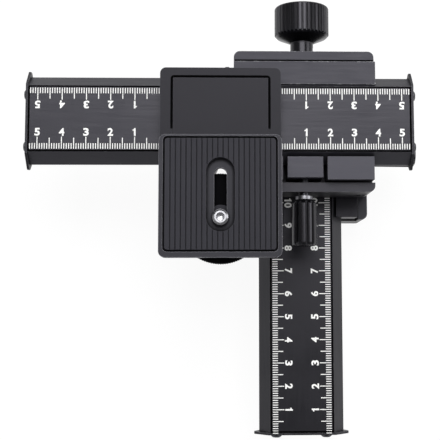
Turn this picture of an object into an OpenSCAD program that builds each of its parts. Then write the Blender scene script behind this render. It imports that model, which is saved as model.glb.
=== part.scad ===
// Macro focusing rail: two crossed slides, each with a rack and pinion drive and a
// clamp, and a camera platform on the upper one. Millimetres, +Z up.
// Origin: mouth of the tripod socket, in the underside of the foot.
// The lower slide moves along Y (front is -Y), the upper one along X.

/* [Rails] */
// Length of a rail bar without its end plates
rail_len = 159.2; // [150:0.2:200]
// Half width of the flat face that carries the scale
land_hw = 13.3; // [12.8:0.1:13.3]
// Half width of the bar at its widest
rail_hw = 18.5; // [17.5:0.1:18.5]
// Height of the bar
rail_h = 13; // [13:0.1:13.2]
// Thickness of an end plate
plate_t = 1.1; // [0.8:0.1:2.5]

/* [Stages] */
// Height from one scale face to the next
stage_h = 28; // [28:0.5:32]
// Carriage length along its rail
carriage_len = 59.4; // [58:0.1:62]
// Carriage width across its rail
carriage_w = 60; // [60:0.5:64]
// Running gap between rail and jaws, measured sideways
slide_gap = 0.2; // [0.15:0.01:0.3]
// Where the lower carriage stands, measured from the middle of the lower rail
lower_pos = 42.9; // [-45:0.1:45]
// Where the upper carriage stands, measured from the middle of the upper rail
upper_pos = 35.1; // [-45:0.1:45]
// Upper rail axis in front of or behind the tripod socket
upper_y = 9.7; // [5:0.1:10]

/* [Rack and pinion] */
// Tooth module
gear_m = 0.6; // [0.6:0.01:0.6]
// Pinion teeth
pinion_z = 18; // [18:1:18]
// Play between the flanks at the pitch line
backlash = 0.12; // [0.08:0.01:0.2]

/* [Knobs] */
// Radius of the drive knobs
knob_r = 11.8; // [9:0.1:11.8]
// Length of a drive knob's grip
knob_len = 12.6; // [10:0.1:20]
// Flutes round a drive knob
knob_flutes = 40; // [24:1:48]
// Radius of a lock knob at its outer end
lock_r = 5.4; // [5:0.1:6.5]
// Length of a lock knob
lock_len = 19.5; // [14:0.1:20]
// Flutes round a lock knob
lock_flutes = 12; // [8:1:16]

/* [Platform] */
// Width of the camera tray and of the bracket behind it
tray_w = 49.4; // [48:0.2:52]
// Length of the camera tray
tray_len = 49.4; // [49:0.1:52]
// Ribs on the rubber pad
pad_ribs = 21; // [15:1:25]
// Radius of the thumb wheel
wheel_r = 18.7; // [16:0.1:19]
// Flutes round the thumb wheel
wheel_flutes = 48; // [30:1:60]

/* [Hidden] */
$fn = 48;
eps = 0.01;
fit_gap = 0.02;

// rail section, depths measured down from the scale face
groove_w = 0.35;
groove_d = 0.4;
shoulder_hw = 13.9;
shoulder_d = 0.25;
side_d1 = 6.2;
side_d2 = 7.2;
bottom_hw = 14;
channel_hw = 3.4;
channel_d = 8.2;
port_y = 11;
port_d = 6.6;
port_r = 1.25;
port_len = 12;

// end plates: one side of the outline, across the bar and up from its face
plate_outline = [[14.7, -0.2], [20.7, -5.7], [20.7, -7.4], [15.6, -14.2]];
plate_screw_len = 9;
plate_head_r = 2.4;
plate_head_h = 1.6;

// foot and tripod socket
foot_h = 5;
foot_w = 48;
foot_r = 6;
foot_pad_t = 1.5;
foot_pad_w = 43;
socket_r = 3.175;
bush_r = 5;
bush_len = 8;
foot_screw_xy = 15;
foot_screw_len = 9;
csk_head_r = 3.9;

// M4 screws with a cap head
m4_r = 2;
m4_head_r = 3.5;
m4_head_h = 4;
m4_seat_r = 3.7;
m4_hole_r = m4_r + fit_gap;

// M3 screws, with a cap head or a countersunk one
m3_r = 1.5;
m3_head_r = 2.75;
m3_head_h = 3;
m3_seat_r = 3;
m3_csk_r = 2.9;
m3_hole_r = m3_r + fit_gap;

// carriage
flange_d = 5;
jaw_d = 1;
floor_d = 13.4;
floor_z = stage_h - floor_d;
jaw_y = 25.2;
back_jaw_y = 24.7;
front_wall_t = 3.9;
corner_r = 2.6;
side_jaw_len = 19.6;
side_jaw_in = 0.8;
clamp_jaw_len = 15;
clamp_jaw_y = 24.5;
tongue_w = 8;
tongue_d = 2;
tongue_len = 7.5;
tongue_inset = 1.6;
tongue_play = 0.1;
tongue_travel = 2;
jaw_line = 0.5;
jaw_line_d = 1.5;
front_lip = 0.9;
back_lip = 0.2;
jaw_screw_x = 19.5;
jaw_screw_y = 21.4;
jaw_screw_z = 4.4;
jaw_hole_d = 7;
jaw_thread = 5.6;
mount_xy = 8.5;
mount_seat_d = 4.3;
mount_thread = 7.5;
wall_screw_x = 24.5;
wall_screw_z = 7.3;
wall_screw_len = 10;

// rack and pinion
pitch_r = gear_m * pinion_z / 2;
pitch = PI * gear_m;
pressure = 20;
tooth_add = 0.55;
tooth_ded = 0.75;
pitch_line_d = 11.8;
pinion_z0 = stage_h - pitch_line_d - pitch_r;
pinion_w = 5.6;
shaft_r = 2.5;
bush_bore_r = 3.2;
washer_r = 3.7;
bush_len_in = 12;
bush_play = 0.04;
shaft_in = 16;
shaft_out = 16.5;
shaft_chamfer = 0.4;
washer_play = 0.1;
pocket_x = 6.8;
pocket_y = 4.2;
pocket_r = 6.4;
rack_w = 6.4;
rack_screw_x = 72;
rack_seat_r = 2.3;
rack_seat_d = 0.6;
rack_screw_len = 5.5;
rack_head_r = 2.2;
rack_head_h = 1.3;

// drive knob, heights from the side of the carriage
knob_gap = 0.2;
knob_neck_r = 5;
knob_neck_len = 6.35;
knob_cone_len = 3.05;
knob_rim = 1;
knob_flute_d = 0.5;
grub_r = 1.5;
grub_len = 2.1;

// lock screw, pressed through the front wall
lock_z = stage_h - 9.4;
lock_screw_r = 2.5;
lock_washer_t = 1.6;
lock_gap = 1.4;
lock_play = 0.05;
lock_collar_r = 3.9;
lock_collar_len = 1.6;
lock_waist = 0.15;
lock_rim = 1.6;
lock_flute_d = 0.95;
lock_grip_d = 2.5;
lock_thread_in = 4;

// platform, heights measured up from the upper scale face
bracket_top = 9;
bracket_low = 1.2;
arm_z = 6.9;
tray_top = 12.6;
pad_top = 12.9;
bracket_back = 19.4;
bracket_front = -4.9;
tray_back = -8.7;
pad_seat = 11;
seat_back = 13;
arm_hw = 21;
arm_front = -54.5;
cover_hw = 19.8;
cover_back = 15.7;
cover_t = 0.8;
cover_gap = 0.45;
cover_low = 0.12;
cover_line_end = -5.8;
nub_x = 2.7;
nub_w = 1.6;
nub_out = 0.5;
bracket_screw_x = 16;
bracket_screw_y = [0, 9];
bracket_screw_z = 3.2;
tray_screw_x = 16.5;
tray_screw_y = [-50, -13];
tray_screw_r = 1.25;
tray_head_r = 2.5;
tray_screw_len = 3.8;
pad_hw = 22.2;
pad_y1 = -55;
pad_y2 = -10.3;
pad_groove = 0.6;
pad_groove_d = 0.5;
pad_line = 0.85;
slot_y1 = -21.9;
slot_y2 = -44.7;
slot_hw = 2.55;
well_y1 = -18;
well_y2 = -47.8;
well_r = 5.8;
well_z = 10.2;
screw_y = -42.1;
screw_top = 15.5;
neck_r = 2.35;
wheel_z = 1;
wheel_t = 5.2;

upper_z = foot_h + stage_h;

anodised = [0.24, 0.24, 0.25];
plate_black = [0.14, 0.14, 0.15];
moulded = [0.12, 0.12, 0.13];
rubber_black = [0.19, 0.19, 0.2];
steel = [0.75, 0.76, 0.78];
bronze = [0.72, 0.56, 0.32];

// ---------- placing ----------

// A stage's own frame: X along its rail, knob side +Y, z = 0 at the carriage's underside.
module lower_stage() {
    translate([0, 0, foot_h]) rotate([0, 0, 90]) children();
}

module upper_stage() {
    translate([0, upper_y, upper_z]) children();
}

// The platform's frame: middle of the upper rail, z = 0 on its scale face.
module platform_frame() {
    translate([-upper_pos, upper_y, upper_z + stage_h]) children();
}

module both_sides(x) {
    for (s = [-1, 1]) translate([s * x, 0, 0]) children();
}

module four_corners(x, y) {
    for (sx = [-1, 1], sy = [-1, 1]) translate([sx * x, sy * y, 0]) children();
}

// Stands a shape that was drawn upright on the XY plane along Y, its top pointing to +Y.
module along_y(y, z) {
    translate([0, y, z]) rotate([-90, 0, 0]) children();
}

// Extrudes an outline drawn in Y and Z along X, centred.
module along_x(len) {
    rotate([90, 0, 90]) linear_extrude(height = len, center = true) children();
}

module rounded_rect(w, l, r) {
    square([w - 2 * r, l], center = true);
    square([w, l - 2 * r], center = true);
    for (sx = [-1, 1], sy = [-1, 1]) translate([sx * (w / 2 - r), sy * (l / 2 - r)]) circle(r);
}

module block(x1, x2, y1, y2, z1, z2) {
    translate([x1, y1, z1]) cube([x2 - x1, y2 - y1, z2 - z1]);
}

// A slot with round ends between two heights, its length along Y.
module stadium(hw, y1, y2, z1, z2) {
    translate([0, 0, z1]) linear_extrude(height = z2 - z1) {
        translate([-hw, y1 + hw]) square([2 * hw, y2 - y1 - 2 * hw]);
        translate([0, y1 + hw]) circle(hw);
        translate([0, y2 - hw]) circle(hw);
    }
}

// ---------- fasteners, head up, the underside of the head at z = 0 ----------

module cap_screw(r, len, head_r, head_h) {
    difference() {
        union() {
            translate([0, 0, -len]) cylinder(h = len + eps, r = r);
            cylinder(h = head_h, r = head_r);
        }
        translate([0, 0, head_h * 0.45]) cylinder(h = head_h, r = head_r * 0.5, $fn = 6);
    }
}

module countersunk_screw(r, len, head_r) {
    difference() {
        union() {
            translate([0, 0, -len]) cylinder(h = len, r = r);
            translate([0, 0, -(head_r - r)]) cylinder(h = head_r - r, r1 = r, r2 = head_r);
        }
        translate([0, 0, -(head_r - r) * 0.7]) cylinder(h = head_r, r = r * 0.75, $fn = 6);
    }
}

module pan_screw(r, len, head_r, head_h) {
    difference() {
        union() {
            translate([0, 0, -len]) cylinder(h = len + eps, r = r);
            cylinder(h = head_h * 0.6, r = head_r);
            translate([0, 0, head_h * 0.6 - eps]) cylinder(h = head_h * 0.4, r1 = head_r, r2 = head_r * 0.7);
        }
        for (a = [0, 90]) rotate([0, 0, a])
            block(-head_r * 0.55, head_r * 0.55, -0.3, 0.3, head_h * 0.4, head_h * 2);
    }
}

// ---------- knobs ----------

// Outline of a fluted grip: flat lands with narrow troughs between them.
function fluted(r, depth, n) = [for (i = [0 : n - 1], k = [0 : 3])
    let (a = (i + [0.0, 0.5, 0.64, 0.86][k]) * 360 / n, q = k < 2 ? r : r - depth)
    [q * cos(a), q * sin(a)]];

// Drive knob along +Z from the carriage wall: neck, cone, fluted grip with rounded rims.
module drive_knob_shape() {
    rim = knob_rim;
    cone_top = knob_neck_len + knob_cone_len;
    top = cone_top + knob_len;
    difference() {
        intersection() {
            rotate_extrude() polygon(concat(
                [[0, 0], [knob_neck_r - 0.3, 0], [knob_neck_r, 0.3], [knob_neck_r, knob_neck_len],
                 [knob_r - rim, cone_top - rim * 0.6], [knob_r + 0.2, cone_top + rim * 0.6]],
                [for (a = [0 : 22.5 : 90]) [knob_r - rim + rim * cos(a), top - rim + rim * sin(a)]],
                [[knob_r * 0.62, top], [knob_r * 0.58, top - 0.5], [0, top - 0.5]]));
            union() {
                cylinder(h = cone_top - rim * 0.6, r = knob_r + 1);
                translate([0, 0, cone_top - rim * 0.6 - eps])
                    linear_extrude(height = knob_len + rim * 2)
                        polygon(fluted(knob_r, knob_flute_d, knob_flutes));
            }
        }
        translate([0, 0, -1]) cylinder(h = top - 4, r = shaft_r + fit_gap);
        translate([0, 0, knob_neck_len / 2]) rotate([0, 90, 0])
            cylinder(h = knob_neck_r + 1, r = grub_r + fit_gap);
    }
}

// Lock knob along +Z: short collar, then a fluted grip with a rounded end.
module lock_knob_shape() {
    rim = lock_rim;
    difference() {
        intersection() {
            rotate_extrude() polygon(concat(
                [[0, 0], [lock_collar_r, 0], [lock_r - lock_waist, lock_collar_len]],
                [for (a = [0 : 22.5 : 90]) [lock_r - rim + rim * cos(a), lock_len - rim + rim * sin(a)]],
                [[0, lock_len]]));
            translate([0, 0, -1]) linear_extrude(height = lock_len + 2)
                polygon(fluted(lock_r + 0.05, lock_flute_d, lock_flutes));
        }
        translate([0, 0, -1]) cylinder(h = lock_len - lock_grip_d, r = lock_screw_r + fit_gap);
    }
}

// ---------- rail ----------

// Half width of the bar's flared upper side and of its tapered lower side at a depth.
function flare(d) = shoulder_hw + (d - shoulder_d) * (rail_hw - shoulder_hw) / (side_d1 - shoulder_d);
function taper(d) = rail_hw - (d - side_d2) * (rail_hw - bottom_hw) / (rail_h - side_d2);

module rail_section() {
    half = [[land_hw, 0], [land_hw, -groove_d], [land_hw + groove_w, -groove_d],
        [land_hw + groove_w, -shoulder_d], [shoulder_hw, -shoulder_d],
        [rail_hw, -side_d1], [rail_hw, -side_d2], [bottom_hw, -rail_h],
        [channel_hw, -rail_h], [channel_hw, -channel_d]];
    n = len(half);
    polygon(concat([for (p = half) [p[0], p[1] + stage_h]],
        [for (i = [n - 1 : -1 : 0]) [-half[i][0], half[i][1] + stage_h]]));
}

// The bar in a stage's frame, with the screw ports for its end plates and its rack.
module rail_bar(pos) {
    translate([-pos, 0, 0]) difference() {
        along_x(rail_len) rail_section();
        for (s = [-1, 1], y = [-port_y, port_y]) translate([s * (rail_len / 2 - port_len), y, stage_h - port_d])
            rotate([0, s * 90, 0]) cylinder(h = port_len + 1, r = port_r + fit_gap);
        both_sides(rack_screw_x) translate([0, 0, stage_h - channel_d - eps])
            cylinder(h = 4, r = port_r + fit_gap);
    }
}

module end_plate(pos, side) {
    half = plate_outline;
    translate([side * (rail_len + plate_t) / 2 - pos, 0, stage_h]) difference() {
        along_x(plate_t) polygon(concat(half, [for (i = [3 : -1 : 0]) [-half[i][0], half[i][1]]]));
        for (y = [-port_y, port_y]) translate([-plate_t, y, -port_d])
            rotate([0, 90, 0]) cylinder(h = 2 * plate_t, r = port_r + fit_gap);
    }
}

module plate_screws(pos) {
    for (s = [-1, 1], y = [-port_y, port_y])
        translate([s * (rail_len / 2 + plate_t) - pos, y, stage_h - port_d])
            rotate([0, s * 90, 0]) pan_screw(port_r, plate_screw_len, plate_head_r, plate_head_h);
}

// ---------- rack and pinion ----------

// Half angle of a pinion tooth at radius q, in degrees; involute flanks above the base circle.
function inv(a) = tan(a) * 180 / PI - a;
function half_tooth(q) = let (base = pitch_r * cos(pressure), t = (pitch - backlash) / 2)
    t / (2 * pitch_r) * 180 / PI + inv(pressure) - (q > base ? inv(acos(base / q)) : 0);

module pinion_outline() {
    root = pitch_r - tooth_ded;
    tip = pitch_r + tooth_add;
    base = pitch_r * cos(pressure);
    radii = [root, base, base + 0.2, pitch_r, (pitch_r + tip) / 2, tip];
    step = 360 / pinion_z;
    polygon([for (i = [0 : pinion_z - 1], k = [0 : 11])
        let (q = k < 6 ? radii[k] : radii[11 - k], s = k < 6 ? -1 : 1, a = 90 + i * step + s * half_tooth(q))
        [q * cos(a), q * sin(a)]]);
}

module pinion() {
    along_y(-pinion_w / 2, pinion_z0) linear_extrude(height = pinion_w) rotate(180) difference() {
        pinion_outline();
        circle(shaft_r + fit_gap);
    }
}

// Rack outline in X and Z. A tooth space stands over the pinion, so the two mesh at rest.
module rack(pos) {
    first = ceil((-pos - rail_len / 2 + 1) / pitch);
    last = floor((-pos + rail_len / 2 - 1) / pitch);
    slope = tan(pressure);
    half_space = (pitch + backlash) / 4;
    wide = half_space + tooth_add * slope;
    narrow = half_space - tooth_ded * slope;
    tip_z = stage_h - pitch_line_d - tooth_add;
    root_z = stage_h - pitch_line_d + tooth_ded;
    top_z = stage_h - channel_d - fit_gap;
    x1 = -pos - rail_len / 2 + fit_gap;
    x2 = -pos + rail_len / 2 - fit_gap;
    difference() {
        translate([0, rack_w / 2, 0]) rotate([90, 0, 0]) linear_extrude(height = rack_w) polygon(concat(
            [[x1, tip_z]],
            [for (i = [first : last], k = [0 : 3]) [i * pitch + [-wide, -narrow, narrow, wide][k],
                [tip_z, root_z, root_z, tip_z][k]]],
            [[x2, tip_z], [x2, top_z], [x1, top_z]]));
        translate([-pos, 0, 0]) both_sides(rack_screw_x) translate([0, 0, tip_z - 1]) {
            cylinder(h = 8, r = port_r + fit_gap);
            cylinder(h = root_z - tip_z + 1 + rack_seat_d, r = rack_seat_r);
        }
    }
}

module rack_screws(pos) {
    head_z = stage_h - pitch_line_d + tooth_ded + rack_seat_d;
    translate([-pos, 0, head_z]) both_sides(rack_screw_x) rotate([180, 0, 0])
        cap_screw(port_r, rack_screw_len, rack_head_r, rack_head_h);
}

module drive_shaft() {
    straight = shaft_in + carriage_w / 2 + shaft_out - shaft_chamfer;
    along_y(-shaft_in, pinion_z0) {
        cylinder(h = straight, r = shaft_r);
        translate([0, 0, straight - eps]) cylinder(h = shaft_chamfer, r1 = shaft_r, r2 = shaft_r - shaft_chamfer);
    }
}

module bushes() {
    for (y = [-pocket_y, carriage_w / 2]) along_y(y - bush_len_in, pinion_z0) difference() {
        cylinder(h = bush_len_in - fit_gap, r = bush_bore_r - fit_gap);
        translate([0, 0, -1]) cylinder(h = bush_len_in + 2, r = shaft_r + bush_play);
    }
}

module thrust_washers() {
    for (y = [-pocket_y, pinion_w / 2]) along_y(y + washer_play, pinion_z0) difference() {
        cylinder(h = pocket_y - pinion_w / 2 - 2 * washer_play, r = washer_r);
        translate([0, 0, -1]) cylinder(h = 3, r = shaft_r + fit_gap);
    }
}

module drive_knob() {
    along_y(carriage_w / 2 + knob_gap, pinion_z0) drive_knob_shape();
}

module knob_grub() {
    translate([shaft_r + fit_gap, carriage_w / 2 + knob_gap + knob_neck_len / 2, pinion_z0])
        rotate([0, 90, 0]) difference() {
            cylinder(h = grub_len, r = grub_r);
            translate([0, 0, grub_len * 0.4]) cylinder(h = grub_len, r = grub_r * 0.55, $fn = 6);
        }
}

// ---------- carriage and clamp ----------

// Block that both the base and the front wall are cut from.
module carriage_blank(h) {
    linear_extrude(height = h) rounded_rect(carriage_len, carriage_w, corner_r);
}

// Base of a stage: the floor under the rail, with the drive's bores and pocket.
module carriage_base() {
    wall_y = carriage_w / 2 - front_wall_t;
    difference() {
        carriage_blank(floor_z);
        block(-carriage_len, carriage_len, -carriage_w, -wall_y, -1, stage_h);
        block(-pocket_x, pocket_x, -pocket_y, pocket_y, pinion_z0 - pocket_r, stage_h);
        along_y(-pocket_y - bush_len_in - 0.2, pinion_z0) cylinder(h = carriage_w, r = bush_bore_r);
        block(-tongue_w / 2 - tongue_play, tongue_w / 2 + tongue_play,
            -wall_y - 1, -wall_y + tongue_len + tongue_travel, floor_z - tongue_d - 0.2, stage_h);
        four_corners(jaw_screw_x, jaw_screw_y) {
            translate([0, 0, -1]) cylinder(h = stage_h, r = m4_hole_r);
            translate([0, 0, -1]) cylinder(h = jaw_screw_z + 1, r = m4_seat_r);
        }
        both_sides(wall_screw_x) along_y(-carriage_w / 2, wall_screw_z)
            cylinder(h = wall_screw_len + 0.5, r = m3_hole_r);
    }
}

// Front wall, which takes the clamp's screw.
module front_wall() {
    wall_y = carriage_w / 2 - front_wall_t;
    difference() {
        carriage_blank(stage_h - flange_d);
        block(-carriage_len, carriage_len, -wall_y, carriage_w, -1, stage_h);
        along_y(-carriage_w / 2 - 1, lock_z) cylinder(h = front_wall_t + 2, r = lock_screw_r + lock_play);
        both_sides(wall_screw_x) {
            along_y(-carriage_w / 2 - 1, wall_screw_z) cylinder(h = front_wall_t + 2, r = m3_hole_r);
            along_y(-carriage_w / 2 - eps, wall_screw_z)
                cylinder(h = m3_csk_r - m3_r, r1 = m3_csk_r + fit_gap, r2 = m3_hole_r);
        }
    }
}

module wall_screws() {
    both_sides(wall_screw_x) translate([0, -carriage_w / 2, wall_screw_z]) rotate([90, 0, 0])
        countersunk_screw(m3_r, wall_screw_len, m3_csk_r);
}

// Dovetail jaw's outline in Y and Z, drawn on the +Y side: its flank below a blunt lip,
// and a whole front jaw with its back at y.
function jaw_flank(lip, lift = 0) = [for (p = [
    [flare(jaw_d) + lip, -jaw_d],
    [flare(jaw_d) + lip, -jaw_d - lip * (side_d1 - shoulder_d) / (rail_hw - shoulder_hw)],
    [rail_hw, -side_d1], [rail_hw, -side_d2], [taper(floor_d - lift), lift - floor_d]])
    [p[0] + slide_gap, p[1]]];

module jaw_section(y, lift = 0) {
    translate([0, stage_h])
        polygon(concat([[y, lift - floor_d], [y, -jaw_d]], jaw_flank(front_lip, lift)));
}

module jaw_holes(y) {
    both_sides(jaw_screw_x) translate([0, y, floor_z - 1]) cylinder(h = jaw_hole_d + 1, r = m4_hole_r);
}

// Back jaw with the lower flange behind it and a line between the two.
module back_jaw() {
    back = carriage_w / 2;
    line = back_jaw_y + jaw_line;
    difference() {
        along_x(carriage_len) translate([0, stage_h]) polygon(concat(
            [[back, -floor_d], [back, -flange_d], [line, -flange_d], [line, -flange_d - jaw_line_d],
             [back_jaw_y, -flange_d - jaw_line_d], [back_jaw_y, -jaw_d]], jaw_flank(back_lip)));
        jaw_holes(jaw_screw_y);
        for (s = [-1, 1]) translate([s * (carriage_len / 2 - corner_r), back - corner_r, 0]) difference() {
            block(min(0, s * (corner_r + 1)), max(0, s * (corner_r + 1)), 0, corner_r + 1, 0, stage_h + 1);
            translate([0, 0, -1]) cylinder(h = stage_h + 3, r = corner_r);
        }
    }
}

module fixed_jaws() {
    difference() {
        both_sides((carriage_len - side_jaw_len) / 2 - side_jaw_in) rotate([0, 0, 180])
            along_x(side_jaw_len) jaw_section(jaw_y + lock_play);
        jaw_holes(-jaw_screw_y);
    }
}

module jaw_screws() {
    four_corners(jaw_screw_x, jaw_screw_y) translate([0, 0, jaw_screw_z]) rotate([180, 0, 0])
        cap_screw(m4_r, floor_z - jaw_screw_z + jaw_thread, m4_head_r, m4_head_h);
}

module clamp_jaw() {
    tongue_y = -carriage_w / 2 + front_wall_t + tongue_inset;
    difference() {
        union() {
            rotate([0, 0, 180]) along_x(clamp_jaw_len) jaw_section(clamp_jaw_y, 0.1);
            block(-tongue_w / 2, tongue_w / 2, tongue_y, tongue_y + tongue_len, floor_z - tongue_d, floor_z + 1);
        }
        along_y(-clamp_jaw_y - 1, lock_z) cylinder(h = 2.5, r = lock_screw_r + 0.3);
    }
}

module lock_washer() {
    along_y(-carriage_w / 2 - lock_gap - lock_washer_t, lock_z) difference() {
        cylinder(h = lock_washer_t, r = washer_r);
        translate([0, 0, -1]) cylinder(h = lock_washer_t + 2, r = lock_screw_r + lock_play);
    }
}

module lock_screw() {
    y1 = -clamp_jaw_y + 1.4;
    y2 = -carriage_w / 2 - lock_gap - lock_washer_t - lock_len + lock_thread_in;
    translate([0, y1, lock_z]) rotate([90, 0, 0]) {
        cylinder(h = 0.6 + eps, r1 = lock_screw_r - 0.6, r2 = lock_screw_r);
        translate([0, 0, 0.6]) cylinder(h = y1 - y2 - 0.6, r = lock_screw_r);
    }
}

module lock_knob() {
    translate([0, -carriage_w / 2 - lock_gap - lock_washer_t - lock_play, lock_z])
        rotate([90, 0, 0]) lock_knob_shape();
}

// ---------- foot ----------

module tripod_foot() {
    color(anodised) difference() {
        translate([0, 0, 1]) linear_extrude(height = foot_h - 1) rounded_rect(foot_w, foot_w, foot_r);
        translate([0, 0, -1]) linear_extrude(height = foot_pad_t + 1)
            rounded_rect(foot_pad_w + 0.1, foot_pad_w + 0.1, 4);
        cylinder(h = 3 * foot_h, r = bush_r + fit_gap, center = true);
        four_corners(foot_screw_xy, foot_screw_xy) {
            cylinder(h = foot_h + 1, r = m4_hole_r);
            translate([0, 0, foot_pad_t - eps])
                cylinder(h = csk_head_r - m4_r, r1 = csk_head_r + fit_gap, r2 = m4_hole_r);
        }
    }
}

module foot_pad() {
    color(rubber_black) difference() {
        linear_extrude(height = foot_pad_t) rounded_rect(foot_pad_w, foot_pad_w, 4);
        cylinder(h = 3 * foot_h, r = bush_r + 0.6, center = true);
    }
}

module tripod_bush() {
    color(steel) difference() {
        cylinder(h = bush_len, r = bush_r);
        translate([0, 0, -1]) cylinder(h = bush_len + 0.5, r = socket_r);
    }
}

module foot_screws() {
    color(steel) four_corners(foot_screw_xy, foot_screw_xy) translate([0, 0, foot_pad_t])
        rotate([180, 0, 0]) countersunk_screw(m4_r, foot_screw_len, csk_head_r);
}

// ---------- lower stage ----------

module lower_carriage() {
    color(anodised) difference() {
        lower_stage() carriage_base();
        translate([0, 0, foot_h - 1]) cylinder(h = bush_len - foot_h + 1 + fit_gap, r = bush_r + fit_gap);
        four_corners(foot_screw_xy, foot_screw_xy) translate([0, 0, foot_h - 1]) cylinder(h = 7, r = m4_hole_r);
    }
}

module lower_front_wall() {
    color(anodised) lower_stage() front_wall();
}

module lower_wall_screws() {
    color(steel) lower_stage() wall_screws();
}

module lower_back_jaw() {
    color(anodised) lower_stage() back_jaw();
}

module lower_fixed_jaws() {
    color(anodised) lower_stage() fixed_jaws();
}

module lower_jaw_screws() {
    color(steel) lower_stage() jaw_screws();
}

module lower_bushes() {
    color(bronze) lower_stage() bushes();
}

module lower_shaft() {
    color(steel) lower_stage() drive_shaft();
}

module lower_pinion() {
    color(bronze) lower_stage() pinion();
}

module lower_thrust_washers() {
    color(steel) lower_stage() thrust_washers();
}

module lower_drive_knob() {
    color(moulded) lower_stage() drive_knob();
}

module lower_knob_grub() {
    color(steel) lower_stage() knob_grub();
}

module lower_clamp_jaw() {
    color(anodised) lower_stage() clamp_jaw();
}

module lower_lock_washer() {
    color(steel) lower_stage() lock_washer();
}

module lower_lock_screw() {
    color(steel) lower_stage() lock_screw();
}

module lower_lock_knob() {
    color(moulded) lower_stage() lock_knob();
}

module lower_rail() {
    color(anodised) difference() {
        lower_stage() rail_bar(lower_pos);
        translate([0, upper_y, upper_z - 8]) four_corners(mount_xy, mount_xy) cylinder(h = 9, r = m4_hole_r);
    }
}

module lower_rack() {
    color(steel) lower_stage() rack(lower_pos);
}

module lower_rack_screws() {
    color(steel) lower_stage() rack_screws(lower_pos);
}

module lower_front_plate() {
    color(plate_black) lower_stage() end_plate(lower_pos, -1);
}

module lower_back_plate() {
    color(plate_black) lower_stage() end_plate(lower_pos, 1);
}

module lower_plate_screws() {
    color(steel) lower_stage() plate_screws(lower_pos);
}

// ---------- upper stage ----------

module upper_carriage() {
    color(anodised) upper_stage() difference() {
        carriage_base();
        four_corners(mount_xy, mount_xy) {
            translate([0, 0, -1]) cylinder(h = stage_h, r = m4_hole_r);
            translate([0, 0, floor_z - mount_seat_d]) cylinder(h = mount_seat_d + 1, r = m4_seat_r);
        }
    }
}

module upper_front_wall() {
    color(anodised) upper_stage() front_wall();
}

module upper_wall_screws() {
    color(steel) upper_stage() wall_screws();
}

module upper_back_jaw() {
    color(anodised) upper_stage() back_jaw();
}

module carriage_screws() {
    color(steel) upper_stage() four_corners(mount_xy, mount_xy) translate([0, 0, floor_z - mount_seat_d])
        cap_screw(m4_r, floor_z - mount_seat_d + mount_thread, m4_head_r, m4_head_h);
}

module upper_fixed_jaws() {
    color(anodised) upper_stage() fixed_jaws();
}

module upper_jaw_screws() {
    color(steel) upper_stage() jaw_screws();
}

module upper_bushes() {
    color(bronze) upper_stage() bushes();
}

module upper_shaft() {
    color(steel) upper_stage() drive_shaft();
}

module upper_pinion() {
    color(bronze) upper_stage() pinion();
}

module upper_thrust_washers() {
    color(steel) upper_stage() thrust_washers();
}

module upper_drive_knob() {
    color(moulded) upper_stage() drive_knob();
}

module upper_knob_grub() {
    color(steel) upper_stage() knob_grub();
}

module upper_clamp_jaw() {
    color(anodised) upper_stage() clamp_jaw();
}

module upper_lock_washer() {
    color(steel) upper_stage() lock_washer();
}

module upper_lock_screw() {
    color(steel) upper_stage() lock_screw();
}

module upper_lock_knob() {
    color(moulded) upper_stage() lock_knob();
}

module upper_rail() {
    color(anodised) difference() {
        upper_stage() rail_bar(upper_pos);
        platform_frame() for (y = bracket_screw_y) both_sides(bracket_screw_x)
            translate([0, y, -7]) cylinder(h = 8, r = m3_hole_r);
    }
}

module upper_rack() {
    color(steel) upper_stage() rack(upper_pos);
}

module upper_rack_screws() {
    color(steel) upper_stage() rack_screws(upper_pos);
}

module upper_left_plate() {
    color(plate_black) upper_stage() end_plate(upper_pos, -1);
}

module upper_right_plate() {
    color(plate_black) upper_stage() end_plate(upper_pos, 1);
}

module upper_plate_screws() {
    color(steel) upper_stage() plate_screws(upper_pos);
}

// ---------- platform ----------

// Bracket: a block that sits on the upper rail, and an arm that reaches under the tray.
module platform_bracket() {
    back_len = bracket_back - bracket_front;
    hw = tray_w / 2 - 0.1;
    color(moulded) platform_frame() difference() {
        union() {
            translate([0, bracket_back - back_len / 2, bracket_low])
                linear_extrude(height = bracket_top - bracket_low) rounded_rect(2 * hw, back_len, 2.4);
            block(-hw, hw, bracket_front, seat_back, 0, bracket_low + 3);
            block(-hw, hw, tray_back, bracket_front + 4, arm_z, bracket_top);
            block(-arm_hw, arm_hw, arm_front, tray_back + 1, arm_z, bracket_top);
            translate([nub_x, 0, 0]) block(-nub_w / 2, nub_w / 2, bracket_back - 1, bracket_back + nub_out,
                bracket_top - 3, bracket_top - 1);
        }
        block(-hw - 1, hw + 1, arm_front, bracket_front, -1, arm_z);
        block(-cover_hw, cover_hw, tray_back, cover_back, bracket_top - cover_t, bracket_top + 1);
        stadium(slot_hw, slot_y2, slot_y1, arm_z - 1, bracket_top + 1);
        for (y = bracket_screw_y) both_sides(bracket_screw_x) translate([0, y, 0]) {
            translate([0, 0, -1]) cylinder(h = bracket_top, r = m3_hole_r);
            translate([0, 0, bracket_screw_z]) cylinder(h = bracket_top, r = m3_seat_r);
        }
        for (y = tray_screw_y) both_sides(tray_screw_x) translate([0, y, arm_z]) {
            cylinder(h = 5, r = tray_screw_r + fit_gap);
            translate([0, 0, -eps])
                cylinder(h = tray_head_r - tray_screw_r, r1 = tray_head_r + fit_gap, r2 = tray_screw_r + fit_gap);
        }
    }
}

module bracket_screws() {
    color(steel) platform_frame() for (y = bracket_screw_y) both_sides(bracket_screw_x)
        translate([0, y, bracket_screw_z]) cap_screw(m3_r, bracket_screw_z + 6.5, m3_head_r, m3_head_h);
}

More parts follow.
